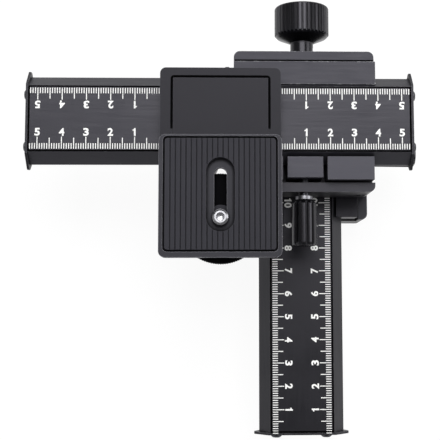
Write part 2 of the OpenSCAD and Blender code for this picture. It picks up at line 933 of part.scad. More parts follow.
// Cover over the bracket's screws, set in a shallow seat. An open line runs round its back and
// most of its sides, and its front end fills the seat.
module bracket_cover() {
    z1 = bracket_top - cover_t;
    z2 = bracket_top - cover_low;
    color(moulded) platform_frame() {
        block(-cover_hw + cover_gap, cover_hw - cover_gap, tray_back, cover_back - cover_gap, z1, z2);
        block(-cover_hw + fit_gap, cover_hw - fit_gap, tray_back, cover_line_end, z1, z2);
    }
}

// Tray: a moulded cap over the arm, with a seat for the pad and a well round the camera screw.
module camera_tray() {
    mid = tray_back - tray_len / 2;
    color(moulded) platform_frame() difference() {
        translate([0, mid, arm_z]) linear_extrude(height = tray_top - arm_z) rounded_rect(tray_w, tray_len, 2.6);
        block(-arm_hw - fit_gap, arm_hw + fit_gap, arm_front - fit_gap, tray_back + 1, arm_z - 1, bracket_top);
        translate([0, (pad_y1 + pad_y2) / 2, pad_seat]) linear_extrude(height = 3)
            rounded_rect(2 * (pad_hw + pad_line), pad_y2 - pad_y1 + 2 * pad_line, 1.8);
        stadium(well_r, well_y2, well_y1, well_z, tray_top);
        stadium(slot_hw, slot_y2, slot_y1, arm_z, tray_top);
        for (y = tray_screw_y) both_sides(tray_screw_x) translate([0, y, arm_z])
            cylinder(h = tray_screw_len + 0.1, r = tray_screw_r + fit_gap);
    }
}

module tray_screws() {
    color(steel) platform_frame() for (y = tray_screw_y) both_sides(tray_screw_x) translate([0, y, arm_z])
        rotate([180, 0, 0]) countersunk_screw(tray_screw_r, tray_screw_len, tray_head_r);
}

// Rubber pad with ribs along Y and a long opening over the well.
module tray_pad() {
    rib_pitch = 2 * pad_hw / pad_ribs;
    color(rubber_black) platform_frame() difference() {
        translate([0, (pad_y1 + pad_y2) / 2, pad_seat]) linear_extrude(height = pad_top - pad_seat)
            rounded_rect(2 * pad_hw, pad_y2 - pad_y1, 1.2);
        for (i = [1 : pad_ribs - 1]) translate([-pad_hw + i * rib_pitch, 0, 0])
            block(-pad_groove / 2, pad_groove / 2, pad_y1 - 1, pad_y2 + 1, pad_top - pad_groove_d, pad_top + 1);
        stadium(well_r, well_y2, well_y1, pad_seat - 1, pad_top + 1);
    }
}

module screw_washer() {
    color(moulded) platform_frame() translate([0, screw_y, wheel_z + wheel_t + 0.08]) difference() {
        cylinder(h = 0.5, r = 5.5);
        translate([0, 0, -1]) cylinder(h = 3, r = neck_r + 0.05);
    }
}

// Camera screw: a thread above a thinner neck, so that it can't drop through the slot.
module camera_screw() {
    color(steel) platform_frame() translate([0, screw_y, 0]) {
        translate([0, 0, wheel_z + 1]) cylinder(h = well_z - wheel_z, r = neck_r);
        translate([0, 0, well_z + 0.15]) cylinder(h = screw_top - well_z - 0.75, r = socket_r);
        translate([0, 0, screw_top - 0.6 - eps]) cylinder(h = 0.6, r1 = socket_r, r2 = socket_r - 0.6);
    }
}

module thumb_wheel() {
    rim = 0.8;
    color(moulded) platform_frame() translate([0, screw_y, wheel_z]) difference() {
        intersection() {
            linear_extrude(height = wheel_t) polygon(fluted(wheel_r, 0.55, wheel_flutes));
            rotate_extrude() polygon([[0, 0], [wheel_r - rim, 0], [wheel_r + 0.1, rim],
                [wheel_r + 0.1, wheel_t - rim], [wheel_r - rim, wheel_t], [0, wheel_t]]);
        }
        translate([0, 0, -1]) rotate_extrude() translate([7, 0]) square([7.5, 2.2]);
        translate([0, 0, 1]) cylinder(h = wheel_t, r = neck_r + fit_gap);
    }
}

tripod_foot();
foot_pad();
tripod_bush();
foot_screws();
lower_carriage();
lower_front_wall();
lower_wall_screws();
lower_back_jaw();
lower_fixed_jaws();
lower_jaw_screws();
lower_bushes();
lower_shaft();
lower_pinion();
lower_thrust_washers();
lower_drive_knob();
lower_knob_grub();
lower_clamp_jaw();
lower_lock_washer();
lower_lock_screw();
lower_lock_knob();
lower_rail();
lower_rack();
lower_rack_screws();
lower_front_plate();
lower_back_plate();
lower_plate_screws();
upper_carriage();
carriage_screws();
upper_front_wall();
upper_wall_screws();
upper_back_jaw();
upper_fixed_jaws();
upper_jaw_screws();
upper_bushes();
upper_shaft();
upper_pinion();
upper_thrust_washers();
upper_drive_knob();
upper_knob_grub();
upper_clamp_jaw();
upper_lock_washer();
upper_lock_screw();
upper_lock_knob();
upper_rail();
upper_rack();
upper_rack_screws();
upper_left_plate();
upper_right_plate();
upper_plate_screws();
platform_bracket();
bracket_screws();
bracket_cover();
camera_tray();
tray_screws();
tray_pad();
screw_washer();
camera_screw();
thumb_wheel();
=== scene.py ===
import math
import bmesh
import bpy
from mathutils import Matrix, Vector


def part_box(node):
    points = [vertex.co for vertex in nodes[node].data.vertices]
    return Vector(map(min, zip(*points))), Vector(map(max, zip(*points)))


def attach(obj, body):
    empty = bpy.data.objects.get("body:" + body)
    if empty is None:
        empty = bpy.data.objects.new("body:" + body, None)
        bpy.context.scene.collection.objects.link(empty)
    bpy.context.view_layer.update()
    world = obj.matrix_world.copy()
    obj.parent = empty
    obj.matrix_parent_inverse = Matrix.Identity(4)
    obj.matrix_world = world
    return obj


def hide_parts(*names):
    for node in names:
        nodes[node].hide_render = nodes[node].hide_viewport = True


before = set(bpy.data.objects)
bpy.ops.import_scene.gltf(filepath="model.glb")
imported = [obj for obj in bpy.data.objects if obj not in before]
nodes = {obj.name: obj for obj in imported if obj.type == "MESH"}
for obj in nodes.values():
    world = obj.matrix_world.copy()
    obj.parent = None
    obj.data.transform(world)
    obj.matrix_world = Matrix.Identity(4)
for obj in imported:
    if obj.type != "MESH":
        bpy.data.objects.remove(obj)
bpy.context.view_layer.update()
mm = 0.001
stages = ["lower", "upper"]


def linear(hexColour):
    # "#rrggbb" as the eye sees it, turned to the linear values that shaders use
    channels = [int(hexColour[i:i + 2], 16) / 255 for i in (1, 3, 5)]
    return (*[c / 12.92 if c <= 0.04045 else ((c + 0.055) / 1.055) ** 2.4 for c in channels], 1)


def addNode(tree, kind, values=None, links=None, **settings):
    node = tree.nodes.new(kind)
    for name, value in settings.items():
        setattr(node, name, value)
    for name, value in (values or {}).items():
        node.inputs[name].default_value = value
    for name, source in (links or {}).items():
        tree.links.new(source, node.inputs[name])
    return node


# The camera looks almost straight down on the rails

camera = {
    "place": (-30.8 * mm, -64.23 * mm, 455.48 * mm),
    "turn": (5.4887, -1.8275, -0.1704),   # degrees about x, y and z
    "lens": 78.73,                        # mm, on a 36 mm wide sensor
    "shift": (-0.0955, -0.0341),
}

cameraData = bpy.data.cameras.new("camera")
cameraData.sensor_width = 36
cameraData.lens = camera["lens"]
cameraData.shift_x, cameraData.shift_y = camera["shift"]
cameraData.clip_start = 0.01
cameraData.clip_end = 20
cameraObject = bpy.data.objects.new("camera", cameraData)
cameraObject.location = camera["place"]
cameraObject.rotation_euler = [math.radians(a) for a in camera["turn"]]
bpy.context.scene.collection.objects.link(cameraObject)
bpy.context.scene.camera = cameraObject
print("camera placed")


def newMaterial(name):
    material = bpy.data.materials.new(name)
    material.use_nodes = True
    material.node_tree.nodes.clear()
    return material, material.node_tree


def closeMaterial(tree, shader):
    addNode(tree, "ShaderNodeOutputMaterial", links={"Surface": shader.outputs[0]})


coolBlack = (0.92, 0.9, 1.0, 1)   # the sheen of black dye under studio light has a touch of violet


def objectPlace(tree):
    return addNode(tree, "ShaderNodeTexCoord").outputs["Object"]


def noise(tree, place, size, detail, roughness=0.5):
    # soft spots about size mm across
    values = {"Scale": 1 / (size * mm), "Detail": detail, "Roughness": roughness}
    return addNode(tree, "ShaderNodeTexNoise", values, {"Vector": place}).outputs["Fac"]


noiseSum = (0.7, 1.3)     # between these lies most of the sum of two noises


def remap(tree, value, low, high, newLow, newHigh):
    return addNode(tree, "ShaderNodeMapRange",
                   {"From Min": low, "From Max": high, "To Min": newLow, "To Max": newHigh},
                   {"Value": value}).outputs[0]


def add(tree, first, second):
    return addNode(tree, "ShaderNodeMath", links={0: first, 1: second}, operation="ADD").outputs[0]


def times(tree, value, factor):
    return addNode(tree, "ShaderNodeMath", {1: factor}, {0: value}, operation="MULTIPLY").outputs[0]


def dyed(tree, colour, tone):
    # the colour made lighter and darker by tone
    return addNode(tree, "ShaderNodeMix", {"Factor": 1.0, "A": linear(colour)}, {"B": tone},
                   data_type="RGBA", blend_type="MULTIPLY").outputs["Result"]


# the edge colour laid over the skin along mask: partly wear, partly a painted highlight
def lightenEdges(tree, skin, bare, mask):
    return addNode(tree, "ShaderNodeMix", {"B": linear(bare)}, {"A": skin, "Factor": mask},
                   data_type="RGBA").outputs["Result"]


def bumped(tree, height, strength, relief):
    return addNode(tree, "ShaderNodeBump", {"Strength": strength, "Distance": relief * mm},
                   {"Height": height}).outputs[0]


edgeFinder = {
    "flat": 0.998,        # cosine between a face and its rounded copy, up to which it counts as flat
    "sharp": 0.95,        # and from which it is all edge
    "samples": 4,
}


def edgeMask(tree, radius):
    # 1 on an edge, 0 on a flat face: there the normal of a rounded copy leaves the face's own normal
    rounded = addNode(tree, "ShaderNodeBevel", {"Radius": radius * mm},
                      samples=edgeFinder["samples"]).outputs[0]
    facing = addNode(tree, "ShaderNodeNewGeometry").outputs["Normal"]
    bend = addNode(tree, "ShaderNodeVectorMath", links={0: rounded, 1: facing}, operation="DOT_PRODUCT")
    return remap(tree, bend.outputs["Value"], edgeFinder["flat"], edgeFinder["sharp"], 0.0, 1.0)


# painted shade: ambient occlusion darkens the colour in grooves and gaps, and dulls the gloss there
creviceShade = {
    "reach": 1.6,         # mm from a wall within which the painted shade darkens the colour
    "samples": 8,
    "left": 0.1,          # share of the unshaded colour and gloss that is left in the deepest gap
    "colour": "#020202",
    "roughness": 0.95,
}


def shade(tree, shader, colour, roughness, shadeRange=(0.3, 0.75)):
    # painted shade: deep in a groove or a gap the colour goes dark and the gloss goes dull
    daylight = addNode(tree, "ShaderNodeAmbientOcclusion", {"Distance": creviceShade["reach"] * mm},
                       samples=creviceShade["samples"]).outputs["AO"]
    unshaded = remap(tree, daylight, shadeRange[0], shadeRange[1], creviceShade["left"], 1.0)
    shaded = addNode(tree, "ShaderNodeMix", {"A": linear(creviceShade["colour"])}, {"B": colour, "Factor": unshaded},
                     data_type="RGBA")
    dull = addNode(tree, "ShaderNodeMix", {"A": creviceShade["roughness"]}, {"Factor": unshaded}, data_type="FLOAT")
    if isinstance(roughness, float):
        dull.inputs["B"].default_value = roughness
    else:
        tree.links.new(roughness, dull.inputs["B"])
    tree.links.new(shaded.outputs["Result"], shader.inputs["Base Color"])
    tree.links.new(dull.outputs["Result"], shader.inputs["Roughness"])


def blackShader(tree, specular, normal):
    return addNode(tree, "ShaderNodeBsdfPrincipled",
                   {"IOR": 1.5, "Specular IOR Level": specular, "Specular Tint": coolBlack}, {"Normal": normal})


anodising = {
    # sizes in mm
    "grain": 0.25,
    "clouds": 22,         # faint patches where the dye took better
    "scuffs": 2.2,        # spots along an edge that go lighter: rubbed wear and painted highlight
    "scuffed": (0.5, 0.75),     # noise from which an edge goes lighter, and at which it has the full edge colour
    "leastWorn": 0.1,
    "edge": 0.35,
    "relief": 0.02,
    "bump": 0.5,
    "tone": (0.78, 1.22),       # darkest and lightest dye
    "polish": (-0.07, 0.09),    # how far the roughness falls and rises
}


def anodised(name, colour, roughness, streak=None, streakWidth=0.6, edgeWearAndHighlight=0.5, bare="#8d8d90", specular=0.5):
    # Aluminium, bead blasted and anodised black: a dark dyed skin with a soft sheen and a fine
    # grain, faint drawing lines along an extruded bar, and lighter edges: partly bare metal where an edge was
    # rubbed, partly a painted highlight.
    material, tree = newMaterial(name)
    place = objectPlace(tree)
    drawn = place
    if streak:
        drawn = addNode(tree, "ShaderNodeMapping", {"Scale": streak}, {"Vector": place}).outputs[0]
    blast = noise(tree, place, anodising["grain"], 3.0)
    lines = noise(tree, drawn, streakWidth, 2.0)
    clouds = noise(tree, place, anodising["clouds"], 3.0, 0.6)
    tone = add(tree, times(tree, add(tree, blast, lines), 0.5), clouds)
    skin = dyed(tree, colour, remap(tree, tone, *noiseSum, *anodising["tone"]))
    scuffs = noise(tree, place, anodising["scuffs"], 4.0, 0.7)
    scuffs = remap(tree, scuffs, *anodising["scuffed"], anodising["leastWorn"], 1.0)
    wornAndLit = addNode(tree, "ShaderNodeMath", links={0: edgeMask(tree, anodising["edge"]), 1: scuffs},
                   operation="MULTIPLY").outputs[0]
    skin = lightenEdges(tree, skin, bare, times(tree, wornAndLit, edgeWearAndHighlight))
    shinier, duller = (roughness + change for change in anodising["polish"])
    gloss = remap(tree, add(tree, lines, clouds), *noiseSum, shinier, duller)
    normal = bumped(tree, add(tree, blast, lines), anodising["bump"], anodising["relief"])
    shader = blackShader(tree, specular, normal)
    shade(tree, shader, skin, gloss)
    closeMaterial(tree, shader)
    return material


moulding = {
    "flow": 30,           # mm, faint clouds where the melt flowed
    "edge": 0.3,
    "bump": 0.4,
    "tone": (0.85, 1.15),
}


def moulded(name, colour, roughness, grain=0.3, relief=0.03, rubbed="#4a4a4f", edgeRubAndHighlight=0.5, specular=0.5,
            shadeRange=(0.3, 0.75)):
    # Glass-filled nylon or rubber from a spark-eroded mould: an even, fine, slightly soft grain
    # and lighter edges, partly rubbed and partly a painted highlight along every edge.
    material, tree = newMaterial(name)
    place = objectPlace(tree)
    pits = noise(tree, place, grain, 2.0)
    flow = noise(tree, place, moulding["flow"], 2.0)
    skin = dyed(tree, colour, remap(tree, add(tree, pits, flow), *noiseSum, *moulding["tone"]))
    # lighter edges: partly rubbed, partly a painted highlight
    skin = lightenEdges(tree, skin, rubbed, times(tree, edgeMask(tree, moulding["edge"]), edgeRubAndHighlight))
    shader = blackShader(tree, specular, bumped(tree, pits, moulding["bump"], relief))
    shade(tree, shader, skin, roughness, shadeRange)
    closeMaterial(tree, shader)
    return material


turning = {
    "marks": 0.4,         # mm
    "relief": 0.02,
    "bump": 0.25,
    "polish": (-0.08, 0.12),
}


def turnedMetal(name, colour, roughness):
    # Machined bright metal: fine tool marks that break the reflections.
    material, tree = newMaterial(name)
    marks = noise(tree, objectPlace(tree), turning["marks"], 3.0)
    shinier, duller = (roughness + change for change in turning["polish"])
    gloss = remap(tree, marks, 0.3, 0.7, shinier, duller)
    shader = addNode(tree, "ShaderNodeBsdfPrincipled", {"Base Color": linear(colour), "Metallic": 1.0},
                     {"Roughness": gloss, "Normal": bumped(tree, marks, turning["bump"], turning["relief"])})
    closeMaterial(tree, shader)
    return material


printing = {
    "patches": 0.5,       # mm
    "cover": (0.85, 1.0),     # how white the ink is where it is thin and where it is full
    "roughness": 0.55,
}


def printedInk(name, colour):
    # Pad-printed epoxy ink: matt, and a little thinner in places.
    material, tree = newMaterial(name)
    cover = remap(tree, noise(tree, objectPlace(tree), printing["patches"], 3.0), 0.3, 0.5, *printing["cover"])
    shader = addNode(tree, "ShaderNodeBsdfPrincipled", {"Roughness": printing["roughness"]},
                     {"Base Color": dyed(tree, colour, cover)})
    closeMaterial(tree, shader)
    return material


finish = {
    "railLower": anodised("black anodised bar, drawn along Y", "#0c0c10", 0.4, streak=(1, 0.03, 1),
                          specular=0.42),
    "railUpper": anodised("black anodised bar, drawn along X", "#18181e", 0.4, streak=(0.03, 1, 1),
                          specular=0.47),
    "block": anodised("black anodised block, bead blasted", "#1e1e22", 0.42, specular=0.44),
    "blockUpper": anodised("black anodised block, bead blasted dull", "#131316", 0.48, specular=0.3),
    # darker than the upper jaws: painted shade, as the lower jaws lie in shadow
    "jawLower": anodised("black anodised jaw, milled along Y", "#151519", 0.44, streak=(1, 0.06, 1),
                         streakWidth=0.9, edgeWearAndHighlight=0.15, specular=0.35),
    "jawUpper": anodised("black anodised jaw, milled along X", "#34343b", 0.44, streak=(0.06, 1, 1),
                         streakWidth=0.9, edgeWearAndHighlight=0.6),
    # its nearly white edges are partly rubbed bare metal and partly a painted highlight
    "backJaw": anodised("black anodised jaw, milled along X and rubbed", "#2c2c32", 0.46, streak=(0.06, 1, 1),
                        streakWidth=0.9, edgeWearAndHighlight=1.0, bare="#e8e8ea", specular=0.4),
    "plate": anodised("black anodised end plate, stamped", "#101013", 0.45, edgeWearAndHighlight=0.9),
    "platform": moulded("glass-filled nylon, fine mould grain", "#121216", 0.5, rubbed="#5a5a60", specular=0.3),
    "tray": moulded("glass-filled nylon, its rim rubbed by cameras", "#2b2b2f", 0.5, rubbed="#8c8c92", edgeRubAndHighlight=0.8,
                    specular=0.3, shadeRange=(0.5, 1.0)),
    "knob": moulded("hard plastic knob, half gloss", "#070709", 0.24, grain=0.5, relief=0.01, edgeRubAndHighlight=0.3,
                    specular=0.4, shadeRange=(0.5, 0.9)),
    # darker than the knob's plastic: painted shade for the wheel deep in its slot
    "wheel": moulded("matt plastic wheel, darkened as painted shade", "#030304", 0.8, edgeRubAndHighlight=0.1, specular=0.08),
    "rubber": moulded("ribbed rubber, matt", "#242429", 0.65, grain=0.4, relief=0.05, rubbed="#48484d",
                      specular=0.36),
    # dull black for the painted shadows laid in joints and grooves
    "shadowStrip": moulded("dull black, painted shadow", "#020202", 0.9, edgeRubAndHighlight=0.0, specular=0.05),
    "steel": turnedMetal("turned steel, bright", "#a8a8ac", 0.26),
    "oxide": turnedMetal("blackened steel", "#3c3c40", 0.3),
    "washerSteel": turnedMetal("rolled steel washer", "#85858a", 0.34),
    "bronze": turnedMetal("sintered bronze", "#b08a52", 0.4),
    "ink": printedInk("white printed ink", "#fafaf8"),
}
print("materials made")


brokenEdge = {
    "weld": 0.002,        # mm, joins the triangles' corners
    "flat": 1,            # degrees, up to which faces count as one
    "angle": 28,          # degrees, from which an edge is rounded
    "segments": 3,
}


def dress(node, material, edge):
    # edge is the radius, in mm, that tumbling and anodising leave on a machined edge
    piece = nodes[node]
    piece.data.materials.clear()
    piece.data.materials.append(finish[material])
    if not edge:
        return
    weld = piece.modifiers.new("join the triangles", "WELD")
    weld.merge_threshold = brokenEdge["weld"] * mm
    flat = piece.modifiers.new("merge flat faces", "DECIMATE")
    flat.decimate_type = "DISSOLVE"
    flat.angle_limit = math.radians(brokenEdge["flat"])
    bevel = piece.modifiers.new("break edges", "BEVEL")
    bevel.width = edge * mm
    bevel.segments = brokenEdge["segments"]
    bevel.limit_method = "ANGLE"
    bevel.angle_limit = math.radians(brokenEdge["angle"])
    bevel.use_clamp_overlap = True
    for polygon in piece.data.polygons:
        polygon.use_smooth = True
    normals = piece.modifiers.new("keep faces flat", "WEIGHTED_NORMAL")
    normals.keep_sharp = True


dressing = {
    "tripod_foot": ("block", 0.4), "foot_pad": ("rubber", 0.3), "tripod_bush": ("steel", 0.2),
    "foot_screws": ("steel", 0), "carriage_screws": ("steel", 0),
    "lower_rail": ("railLower", 0.12), "upper_rail": ("railUpper", 0.12),
    "lower_front_plate": ("plate", 0.15), "lower_back_plate": ("plate", 0.15),
    "upper_left_plate": ("plate", 0.15), "upper_right_plate": ("plate", 0.15),
    "platform_bracket": ("platform", 0.5), "bracket_cover": ("platform", 0.12), "bracket_screws": ("steel", 0),
    "camera_tray": ("tray", 0.35), "tray_screws": ("steel", 0), "tray_pad": ("rubber", 0.15),
    "screw_washer": ("rubber", 0.1), "camera_screw": ("steel", 0.1), "thumb_wheel": ("wheel", 0),
}
stageDressing = {
    "carriage": ("block", 0.35), "front_wall": ("block", 0.3), "wall_screws": ("oxide", 0),
    "jaw_screws": ("steel", 0), "bushes": ("bronze", 0),
    "shaft": ("steel", 0), "pinion": ("bronze", 0), "thrust_washers": ("steel", 0), "drive_knob": ("knob", 0),
    "knob_grub": ("steel", 0), "lock_washer": ("washerSteel", 0.15),
    "lock_screw": ("oxide", 0), "lock_knob": ("knob", 0), "rack": ("steel", 0), "rack_screws": ("steel", 0),
    "plate_screws": ("oxide", 0),
}
for stage in stages:
    for part, look in stageDressing.items():
        dressing[f"{stage}_{part}"] = look
    for part in ("back_jaw", "fixed_jaws", "clamp_jaw"):
        dressing[f"{stage}_{part}"] = (f"jaw{stage.capitalize()}", 0.25)
dressing["upper_back_jaw"] = ("backJaw", 0.15)
dressing["upper_carriage"] = ("blockUpper", 0.35)
for node, (material, edge) in dressing.items():
    dress(node, material, edge)
print("CAD pieces dressed:", len(dressing), "of", len(nodes))


# The camera screw and its thumb wheel, which the CAD has without thread and knurl

screw = {
    "crest": 3.17,        # radius over the crests of a 1/4 inch thread
    "root": 2.5,
    "pitch": 1.27,        # 20 threads to the inch
    "crestFlat": (0.44, 0.56),   # where the crest begins and ends, in shares of the pitch
    "runIn": 1.5,         # turns cut below the thread's foot
    "thread": 5.15,       # length of the threaded end
    "chamfer": 0.8,
    "neck": 2.35,         # radius of the plain neck
    "neckOverlap": 0.5,   # how far the neck reaches up into the thread
    "facets": 32,         # in one turn
    "pit": [(0.65, 0.0), (0.2, -0.35), (0.8, -0.3)],   # rings of the drilled tip: width and depth
}
wheel = {
    "radius": 18.5,
    "thick": 5.2,
    "rim": 0.7,
    "rimBulge": 0.3,      # share of the rim at which its corner is turned twice
    "ridges": 120,
    "pointsPerRidge": 4,
    "ridgeDepth": 0.24,
    "ridgesFrom": 15.5,   # radius outside which the ridges are cut
    "hollow": (7, 14.5, 2.2),   # ring left out of the underside: inner and outer radius, depth
}


def cutAway(shape, point, normal):
    # what lies beyond the plane goes
    bmesh.ops.bisect_plane(shape, geom=shape.verts[:] + shape.edges[:] + shape.faces[:], dist=0.0001,
                           plane_co=point, plane_no=normal, clear_outer=True)


def finishMesh(shape, name, middle, material, sharp=35):
    # a mesh in mm becomes an object in metres; edges over sharp degrees stay sharp
    bmesh.ops.transform(shape, matrix=Matrix.Translation(middle) @ Matrix.Scale(mm, 4), verts=shape.verts)
    bmesh.ops.recalc_face_normals(shape, faces=shape.faces)
    mesh = bpy.data.meshes.new(name)
    shape.to_mesh(mesh)
    shape.free()
    mesh.shade_smooth()
    mesh.set_sharp_from_angle(angle=math.radians(sharp))
    mesh.materials.append(finish[material])
    piece = bpy.data.objects.new(name, mesh)
    bpy.context.scene.collection.objects.link(piece)
    return piece


def buildCameraScrew():
    low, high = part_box("camera_screw")
    top = screw["thread"]
    bottom = top - (high.z - low.z) / mm
    pitch = screw["pitch"]
    turns = math.ceil(top / pitch) + 2
    shape = bmesh.new()
    up, down = screw["crestFlat"]
    profile = [(screw["root"], 0), (screw["crest"], up), (screw["crest"], down), (screw["root"], 1)]
    points = [shape.verts.new((radius, 0, (share - screw["runIn"]) * pitch)) for radius, share in profile]
    edges = [shape.edges.new(pair) for pair in zip(points, points[1:])]
    bmesh.ops.spin(shape, geom=points + edges, axis=(0, 0, 1), cent=(0, 0, 0),
                   dvec=(0, 0, pitch / screw["facets"]), angle=turns * math.tau, steps=turns * screw["facets"])
    bmesh.ops.remove_doubles(shape, verts=shape.verts, dist=0.001)
    for height, outward in ((0, -1), (top, 1)):
        cutAway(shape, (0, 0, height), (0, 0, outward))
    for vert in shape.verts:
        limit = screw["crest"] - max(vert.co.z - (top - screw["chamfer"]), 0)
        radius = vert.co.xy.length
        if radius > limit:
            vert.co.xy *= limit / radius
    bmesh.ops.remove_doubles(shape, verts=shape.verts, dist=0.01)
    ends = [edge for edge in shape.edges if edge.is_boundary]
    bmesh.ops.holes_fill(shape, edges=ends, sides=0)
    bmesh.ops.recalc_face_normals(shape, faces=shape.faces)
    tip = [face for face in shape.faces if face.calc_center_median().z > top - 0.001]
    for width, depth in screw["pit"]:
        bmesh.ops.inset_individual(shape, faces=tip, thickness=width, depth=depth)
    neck = screw["neckOverlap"] - bottom
    bmesh.ops.create_cone(shape, cap_ends=True, segments=screw["facets"], radius1=screw["neck"],
                          radius2=screw["neck"], depth=neck,
                          matrix=Matrix.Translation((0, 0, bottom + neck / 2)))
    middle = Vector(((low.x + high.x) / 2, (low.y + high.y) / 2, high.z - top * mm))
    piece = finishMesh(shape, "camera_screw_threaded", middle, "steel")
    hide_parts("camera_screw")
    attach(piece, "camera_screw_and_wheel")


def buildThumbWheel():
    low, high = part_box("thumb_wheel")
    outer, thick, rim = wheel["radius"], wheel["thick"], wheel["rim"]
    inside, outside, deep = wheel["hollow"]
    bulge = rim * wheel["rimBulge"]
    profile = [(0, 0), (inside, 0), (inside, deep), (outside, deep), (outside, 0), (outer - rim, 0),
               (outer - bulge, bulge), (outer, rim), (outer, thick - rim),
               (outer - bulge, thick - bulge), (outer - rim, thick), (0, thick)]
    shape = bmesh.new()
    points = [shape.verts.new((radius, 0, height)) for radius, height in profile]
    edges = [shape.edges.new(pair) for pair in zip(points, points[1:])]
    bmesh.ops.spin(shape, geom=points + edges, axis=(0, 0, 1), cent=(0, 0, 0), angle=math.tau,
                   steps=wheel["ridges"] * wheel["pointsPerRidge"], use_merge=True)
    for vert in shape.verts:
        radius = vert.co.xy.length
        if radius > wheel["ridgesFrom"]:
            wave = 0.5 - 0.5 * math.cos(wheel["ridges"] * math.atan2(vert.co.y, vert.co.x))
            vert.co.xy *= 1 - wave * wheel["ridgeDepth"] / radius
    bmesh.ops.remove_doubles(shape, verts=shape.verts, dist=0.0005)
    middle = Vector(((low.x + high.x) / 2, (low.y + high.y) / 2, low.z))
    piece = finishMesh(shape, "thumb_wheel_knurled", middle, "wheel", 40)
    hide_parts("thumb_wheel")
    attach(piece, "camera_screw_and_wheel")


buildCameraScrew()
buildThumbWheel()
print("camera screw and thumb wheel built")


# Printed millimetre scales on both rails

scale = {
    "markEnd": 12.76,     # mm from the rail's middle line to the outer end of every mark
    "one mm": 2.3,        # length of a millimetre mark, and of the zero mark
    "five": 4.6,          # length of a 5 mm mark
    "ten": 5.0,           # length of a 10 mm mark
    "width": 0.37,
    "ink": 0.02,          # thickness of the printed ink
    "numberGap": 0.4,     # from a 10 mm mark to the foot of its number
    "numberHeight": 3.25,
    "numberWidth": 2.25,
    "digitStep": 2.15,    # from digit to digit in 10 and above
    "bold": 0.035,
    # outline of the figure 1, a stem with a flag, in shares of its height
    "one": [(-0.09, 0), (0.13, 0), (0.13, 1), (-0.04, 1),
            (-0.09, 0.88), (-0.26, 0.8), (-0.26, 0.66), (-0.09, 0.69)],
}
# runs: where a scale's zero is along the rail from its middle, which way it counts, and its last mark
rails = {
    "upper": {"turn": 0, "runs": [(-25.6, -1, 53), (25.6, 1, 53)]},
    "lower": {"turn": -90, "runs": [(79.76, -1, 158)]},
}


def faceMiddle(stage):
    # middle of a rail's scale face, in mm
    low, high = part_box(f"{stage}_rail")
    return Vector(((low.x + high.x) / 2, (low.y + high.y) / 2, high.z)) / mm


def aboutZ(degrees):
    return Matrix.Rotation(math.radians(degrees), 4, "Z")


def shadowPiece(shape, name, body):
    # a thin piece of dull black that stands for shade, a painted shadow, its shape already in place
    piece = finishMesh(shape, name, (0, 0, 0), "shadowStrip")
    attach(piece, body)


# Painted shadow: a strip of dull black laid in the joint between each back jaw and the flange behind it

shadowStrip = {
    "length": 58.6,
    "reach": 1.65,        # mm over the flange, from the back of the jaw
    "height": 0.6,
    "facets": 24,
    "jawBack": 24.7,      # from the rail's middle line
    "flangeTop": 5,       # below the scale face
    "turn": {"lower": 90, "upper": 0},   # from +Y to the back jaw's side of the rail
}


def buildJawShadow(stage):
    # a quarter of a bar of oval section, laid in the corner
    shape = bmesh.new()
    bmesh.ops.create_cone(shape, cap_ends=True, segments=shadowStrip["facets"], radius1=1, radius2=1,
                          depth=shadowStrip["length"], matrix=Matrix.Rotation(math.pi / 2, 4, "Y"))
    bmesh.ops.transform(shape, matrix=Matrix.Diagonal((1, shadowStrip["reach"], shadowStrip["height"], 1)), verts=shape.verts)
    for normal in ((0, -1, 0), (0, 0, -1)):
        cutAway(shape, (0, 0, 0), normal)
        bmesh.ops.holes_fill(shape, edges=[edge for edge in shape.edges if edge.is_boundary], sides=0)
    low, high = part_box(f"{stage}_back_jaw")
    place = faceMiddle(stage)
    along = 0 if stage == "upper" else 1
    place[along] = (low[along] + high[along]) / 2 / mm
    place.z -= shadowStrip["flangeTop"]
    lift = Matrix.Translation((0, shadowStrip["jawBack"], 0))
    bmesh.ops.transform(shape, matrix=Matrix.Translation(place) @ aboutZ(shadowStrip["turn"][stage]) @ lift,
                        verts=shape.verts)
    shadowPiece(shape, f"{stage}_jaw_shadow", "base" if stage == "lower" else "lower_slide")


grooveShade = {
    "groove": (13.1, 13.72),   # mm from the rail's middle line, the painted shade beside the scale face
    "deep": 0.28,
    "end": 0.75,          # width of the painted shadow across the end of the face, at each end plate
}


def paintGrooveShade(stage):
    # painted shade: dull black laid in the two grooves beside the scale face and along its ends
    low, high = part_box(f"{stage}_rail")
    half = max(high.x - low.x, high.y - low.y) / 2 / mm
    near, far = grooveShade["groove"]
    shape = bmesh.new()
    for side in (-1, 1):
        spot = Matrix.Translation((0, side * (near + far) / 2, scale["ink"] / 2 - grooveShade["deep"] / 2))
        size = Matrix.Diagonal((2 * half, far - near, grooveShade["deep"] + scale["ink"], 1))
        bmesh.ops.create_cube(shape, size=1, matrix=spot @ size)
        spot = Matrix.Translation((side * (half - grooveShade["end"] / 2), 0, scale["ink"] / 2))
        size = Matrix.Diagonal((grooveShade["end"], 2 * near, scale["ink"], 1))
        bmesh.ops.create_cube(shape, size=1, matrix=spot @ size)
    bmesh.ops.transform(shape, matrix=Matrix.Translation(faceMiddle(stage)) @ aboutZ(rails[stage]["turn"]),
                        verts=shape.verts)
    shadowPiece(shape, f"{stage}_groove_shade", f"{stage}_slide")


cover = {
    "half": 20.35,        # mm from the middle of the bracket to the outside of the joint
    "front": -5.8,        # ends of the joint, along Y from the rail's middle line
    "back": 16.2,
    "corner": 1.5,
    "cornerStep": 15,     # degrees
    "width": 0.7,
    "top": 9.02,          # over the scale face
    "thick": 0.16,
}


